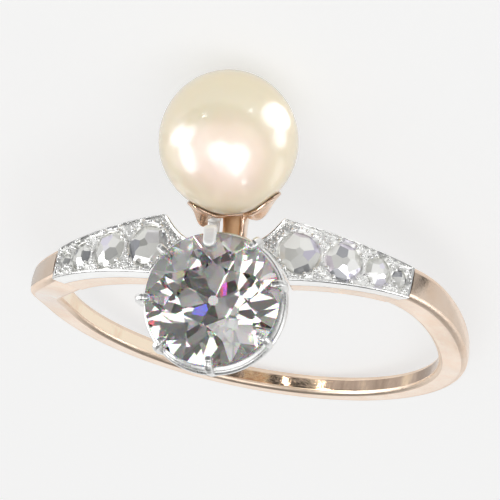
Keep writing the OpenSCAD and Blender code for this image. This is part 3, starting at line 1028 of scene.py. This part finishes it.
def rose_cut_part(side, angle, r):
    """Rose cut: uneven outline, six or seven steep facets, and a flatter ring round one top facet."""
    rise = 0.5 * (0.6 + 0.4 * r) + 0.02
    draw = cutter.uniform
    planes = [(np.array([0, 0, -1.0]), 0.0)]
    planes += [facet(30 * i + draw(-6, 6), 90, r * draw(0.965, 1.0), 0) for i in range(12)]
    count = cutter.choice((6, 7))
    first = draw(0, 60)
    planes += [facet(first + 360 * i / count + draw(-7, 7), draw(34, 42), r * 0.98, 0.12)
               for i in range(count)]
    planes += [facet(first + 30 + 72 * i + draw(-9, 9), draw(13, 19), 0, rise * draw(0.99, 1.05))
               for i in range(5)]
    planes.append(facet(draw(0, 360), draw(1, 5), 0, rise * 0.93))
    points, faces = cut_stone(planes, 1.2)
    return on_plate(side, angle, shift_y(side * angle), -STONE_SINK, points), faces


add_piece("diamond_cut", [(*diamond_part(), diamond_clear)], ["diamond"], sharp=1)
# Each facet of a rose cut gets a random place on the ramp of painted reflections and fire.
for side, word in ((-1, "left"), (1, "right")):
    for index, (angle, r) in enumerate(STONES, 1):
        points, faces = rose_cut_part(side, angle, r)
        add_piece(f"rose_cut_{word}_{index}", [(points, faces, rose_cut_foil_painted_facets)],
                  [f"rose_diamond_{word}_{index}"], sharp=1,
                  attributes={"painted_facet_light": ("FACE", [cutter.random() for _ in faces])})


# Floor and light.

def plain_sheet(name, corners, material):
    """A flat sheet with its corners in mm over the floor."""
    mesh = bpy.data.meshes.new(name)
    mesh.from_pydata([(x * 0.001, y * 0.001, z * 0.001) for x, y, z in corners], [], [(0, 1, 2, 3)])
    mesh.materials.append(material)
    sheet = new_object(name, mesh)
    sheet.location.z = cad_box[0][2]
    return sheet


def lying(low, high, over=0.3):
    """Corners of a sheet that lies on the floor or a little over it."""
    return (*low, over), (high[0], low[1], over), (*high, over), (low[0], high[1], over)


FLOOR_GLOW = 0.86
FLOOR_HALF = 1500


def floor_material():
    """A light table of opal sheet, which keeps shadows faint."""
    s = Shader("floor_opal")
    s.set(Base_Color=s.tones(s.noise(0.02, detail=3), (0.3, (0.3, 0.3, 0.298)), (0.7, (0.31, 0.31, 0.308))),
          Roughness=0.9, Specular_IOR_Level=0.1, Emission_Strength=FLOOR_GLOW)
    return s.owner


floor = plain_sheet("floor", lying((-FLOOR_HALF,) * 2, (FLOOR_HALF,) * 2, over=0), floor_material())


def reflector(name, corners, low, high, per_mm=0.02, stones_only=False):
    """A card from grey to grey that only mirrors and stones see."""
    s = Shader(name)
    s.set(Base_Color=s.tones(s.noise(per_mm, detail=2), (0.38, (low,) * 3), (0.62, (high,) * 3)),
          Roughness=0.9, Specular_IOR_Level=0.1)
    card = plain_sheet(name, corners, s.owner)
    card.visible_camera = card.visible_diffuse = card.visible_shadow = False
    card.visible_glossy = not stones_only


reflector("card_front", lying((-300, -400), (300, -22)), 0.1, 0.14)
reflector("card_low", ((180, -50, 0.3), (-30, -150, 0.3), (-30, -150, 24), (180, -50, 24)), 0.05, 0.08)
reflector("card_left", lying((11.5, -8), (60, 6.5)), 0.62, 0.72)
reflector("card_right", lying((-60, -9), (-12, 8)), 0.7, 0.76)
reflector("card_tan", lying((-50, -9), (-12, -4.4), over=0.35), 0.42, 0.5)
reflector("card_line", lying((-34, -5.2), (-12.2, -4.4), over=0.4), 0.06, 0.1)
# Under the stones, with a bright strip left open that shows through the diamond's culet.
for name, low, high in (("card_under_right", -70, 2), ("card_under_left", 4, 70)):
    reflector(name, lying((low, -70), (high, 70), over=0.2), 0.1, 0.6, per_mm=0.12, stones_only=True)

# The room lights plain surfaces evenly. Mirrors and stones see it bright near the horizon, darker
# above, and dark in front, where the camera stands.
SKY_DIFFUSE, SKY_SEEN = 1.05, 1.3
SKY_HEIGHTS = ((0.0, 0.72), (0.28, 0.55), (0.45, 0.3), (0.8, 0.2))
SKY_IN_STONES = ((0.0, 0.5), (0.3, 0.4), (0.5, 0.3), (0.8, 0.25))
UPWARD, FRONT = (0, 0, 1), (0, -0.985, -0.174)
SKY_FRONT = ((0.82, 1.0), (0.92, 0.12))

studio = Shader("studio", kind="worlds")
ray = studio.node("LightPath")
direction = studio.node("TexCoord").outputs["Generated"]


def sky_share(axis, stops):
    """Brightness by how far a direction points along an axis."""
    along = studio.node("VectorMath", {0: direction, 1: axis}, operation="DOT_PRODUCT").outputs["Value"]
    return studio.tones(along, *((place, (grey,) * 3) for place, grey in stops))


def sky_choice(kind, otherwise, chosen):
    """One brightness for a kind of ray, and another for the rest."""
    return studio.node("Mix", {"Factor": ray.outputs[kind], "A": otherwise, "B": chosen},
                       data_type="FLOAT").outputs["Result"]


# A furnished room breaks up what the stones show.
patches = studio.node("TexNoise", {"Scale": 3.0, "Detail": 2, "Vector": direction}).outputs["Fac"]
furnished = studio.spread(patches, 0.35, 1.7, start=0.4, end=0.6)
in_metal = studio.calc("MULTIPLY", sky_share(UPWARD, SKY_HEIGHTS), sky_share(FRONT, SKY_FRONT))
in_stones = studio.calc("MULTIPLY", sky_share(UPWARD, SKY_IN_STONES), furnished)
strength = sky_choice("Is Transmission Ray", sky_choice("Is Glossy Ray", SKY_DIFFUSE, in_metal), in_stones)
sky = studio.tree.nodes["Background"]
studio.feed(sky.inputs["Color"], (0.99, 0.99, 0.985, 1))
studio.feed(sky.inputs["Strength"], sky_choice("Is Camera Ray", strength, SKY_SEEN))
scene.world = studio.owner


def lit_group(name, pieces, state="INCLUDE"):
    """The pieces that a light reaches, or that it leaves out."""
    group = bpy.data.collections.new(name)
    for piece in pieces:
        group.objects.link(bpy.data.objects[piece])
    for member in group.collection_objects:
        member.light_linking.link_state = state
    return group


# The pearl and the diamond mirror lights of their own.
pearl_alone = lit_group("pearl_alone", ["pearl_body"])
metal_lit = lit_group("metal_lit", ["pearl_body", "diamond_cut", "floor"], "EXCLUDE")


def area_light(name, place, axes, size, radiance, colour=(1, 1, 1), shape="RECTANGLE"):
    """A light of a given brightness at a place in metres, which shines against the last of its axes."""
    data = bpy.data.lights.new(name, "AREA")
    data.shape = shape
    data.size, data.size_y = size
    data.energy = radiance * pi * size[0] * size[1] * (pi / 4 if shape == "ELLIPSE" else 1)
    data.color = colour
    light = new_object(name, data)
    light.matrix_world = Matrix.Translation(Vector(place)) @ axes.to_4x4()
    light.visible_camera = False
    return light


def softbox(name, place, size, radiance, mirrored_only=True, in_stones=False, reaches=None, colour=(1, 1, 1)):
    """A light that faces the ring, seen by plain surfaces and mirrors, or by mirrors or stones only."""
    facing = (-Vector(place)).to_track_quat("-Z", "Y").to_matrix()
    light = area_light(name, place, facing, size, radiance, colour)
    light.visible_diffuse = not mirrored_only
    light.visible_transmission = in_stones
    if mirrored_only and not in_stones:
        reaches = reaches or metal_lit
    light.light_linking.receiver_collection = reaches
    return light


def low_in_front(azimuth, rise, distance):
    """A place in metres at an azimuth from the back and a height, both in degrees."""
    a, up = radians(azimuth), radians(rise)
    return Vector((sin(a) * cos(up), cos(a) * cos(up), sin(up))) * distance


# Softboxes by their place, right, up and back as the camera sees it.
overhead = seen_from_camera(0, -230, 420)
softbox("light_overhead", overhead, (0.46, 0.36), 2.4, mirrored_only=False, in_stones=True)
softbox("light_overhead_gloss", overhead, (0.44, 0.34), 2.6)
softbox("light_left", seen_from_camera(-380, -50, 70), (0.22, 0.34), 6.0)
softbox("light_right", seen_from_camera(390, -70, 10), (0.22, 0.3), 5.0)
softbox("light_front_right", seen_from_camera(310, 60, 230), (0.22, 0.2), 1.6)
softbox("light_behind", seen_from_camera(-60, -330, -400), (0.9, 0.28), 0.8, mirrored_only=False,
        reaches=lit_group("behind_lit", ["floor"], "EXCLUDE"))
# Small bright lamps that only the clear stones sparkle with.
LAMPS = ((-300, 180, 260), (260, -280, 160), (120, 250, 300), (-170, -340, 190), (340, 120, 220),
         (-80, 60, 430), (60, -60, 440), (-380, -120, 120))
for index, place in enumerate(LAMPS):
    lamp = softbox(f"lamp_{index}", seen_from_camera(*place), (0.055, 0.055), 9.0, in_stones=True)
    lamp.visible_glossy = False

# Lamps low in front that glint inside the hoop: azimuth and height in degrees, size in mm, brightness.
INSIDE_LAMPS = ((138, 3, 9, 14, 90), (130, 10, 5, 5, 140), (163, 2, 2.6, 4, 130), (121, 4, 3, 4, 120))
inside_lit = lit_group("inside_lit", ["hoop_and_cup"])
for index, (azimuth, rise, width, height, radiance) in enumerate(INSIDE_LAMPS):
    softbox(f"glint_inside_{index}", low_in_front(azimuth, rise, 0.11), (width * 0.001, height * 0.001),
            radiance, reaches=inside_lit, colour=(1, 0.95, 0.82))

# Panels low in front that flash in single facets and grains: azimuth and height in degrees.
PANELS = ((-94, 6), (136, 9), (-150, 7), (172, 14), (-120, 16))
white_lit = lit_group("white_lit", [piece.name for piece in scene.objects
                                    if piece.name.startswith(("plate_", "rose_cut_"))])
for index, (azimuth, rise) in enumerate(PANELS):
    softbox(f"panel_{index}", low_in_front(azimuth, rise, 0.15), (0.03, 0.026), 6.0, reaches=white_lit)

pearl_centre = in_pearl([(0, 0, 0)])[0] @ CAMERA_AXES.T


def mirrored_from(right, up):
    """Where a ray from the camera meets the pearl, in pearl radii, and the way that it goes on."""
    normal = np.array([right, up, sqrt(1 - right ** 2 - up ** 2)])
    return pearl_centre + PEARL_R * normal, 2 * normal[2] * normal - (0, 0, 1)


def pearl_glint(name, right, up, width, height, reach, radiance, colour=(1, 1, 1)):
    """A light that shows on the pearl as a highlight of a given place and size, in pearl radii."""
    start, ahead = mirrored_from(right, up)
    spot = start + reach * ahead
    spans = []
    for step_right, step_up in ((width / 2, 0), (0, height / 2)):
        ends = []
        for sign in (-1, 1):
            origin, way = mirrored_from(right + sign * step_right, up + sign * step_up)
            ends.append(origin + way * ((spot - origin) @ ahead) / (way @ ahead))
        spans.append(ends[1] - ends[0])
    across = spans[0] / np.linalg.norm(spans[0])
    upward = np.cross(ahead, across)
    size = np.linalg.norm(spans[0]) * 0.001, abs(spans[1] @ upward) * 0.001
    axes = Matrix((TO_ROW @ CAMERA_AXES.T @ np.array([across, upward, ahead]).T).tolist())
    light = area_light(name, seen_from_camera(*spot), axes, size, radiance, colour, shape="ELLIPSE")
    light.visible_diffuse = False
    light.light_linking.receiver_collection = pearl_alone


# Highlights of the pearl: place and size in pearl radii, distance in mm, brightness, any colour.
GLINTS = {
    "heart_left": (-0.14, -0.13, 0.32, 0.26, 150, 5.5),
    "heart_right": (0.13, -0.2, 0.34, 0.34, 150, 5.5),
    "heart_point": (0.14, -0.38, 0.16, 0.22, 150, 4.0),
    "heart_blush": (0.0, -0.18, 1.0, 0.9, 150, 1.3, (1.0, 0.78, 0.82)),
    "left_high": (-0.67, 0.15, 0.34, 0.42, 150, 6.5),
    "left_low": (-0.59, -0.22, 0.2, 0.46, 150, 6.5),
    "left_glow": (-0.62, 0.0, 0.6, 0.9, 150, 1.0),
    "right_high": (0.67, 0.35, 0.38, 0.38, 2.2, 5.5),
    "right_low": (0.73, 0.06, 0.18, 0.3, 3.0, 4.5),
    "right_streak": (0.7, -0.42, 0.14, 0.4, 3.0, 1.0),
    "speck_left": (-0.35, 0.35, 0.03, 0.03, 3.0, 24.0),
    "speck_right": (0.32, 0.42, 0.03, 0.03, 3.0, 20.0),
    "speck_low": (-0.03, -0.71, 0.05, 0.04, 60.0, 24.0),
    "speck_heart": (0.22, -0.56, 0.05, 0.04, 60.0, 20.0),
}
for name, values in GLINTS.items():
    pearl_glint(f"glint_{name}", *values)

scene.view_settings.view_transform = "Standard"
scene.view_settings.look = "None"
scene.view_settings.exposure = -0.52
cycles = scene.cycles
cycles.max_bounces = cycles.transmission_bounces = 24
cycles.glossy_bounces = 10
cycles.caustics_refractive = cycles.caustics_reflective = True
